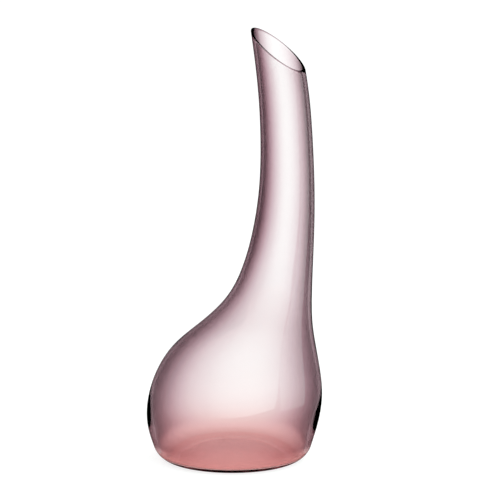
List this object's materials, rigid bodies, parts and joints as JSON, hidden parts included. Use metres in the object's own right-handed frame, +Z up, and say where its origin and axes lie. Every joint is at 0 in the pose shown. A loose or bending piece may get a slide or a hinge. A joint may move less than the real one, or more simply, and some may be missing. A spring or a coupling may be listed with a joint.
{
  "type": "wine decanter",
  "caption": "Blown glass wine decanter with a wide round belly and an off-centre neck that leans back to a slanting, open mouth.",
  "frame": {"origin": "on the table at the centre of the round foot; the bounding box is centred 1.7 mm from it towards +X", "axes": "+Z up; +X towards the side the neck stands on, where the mouth is lowest; the belly bulges towards -X; the glass is a mirror image across the XZ plane"},
  "size_m": [0.1293, 0.1284, 0.3201],
  "materials": {
    "rose_glass": "clear, polished, tinted rose"
  },
  "bodies": {
    "root": {"decanter_glass": "rose_glass"}
  },
  "joints": []
}
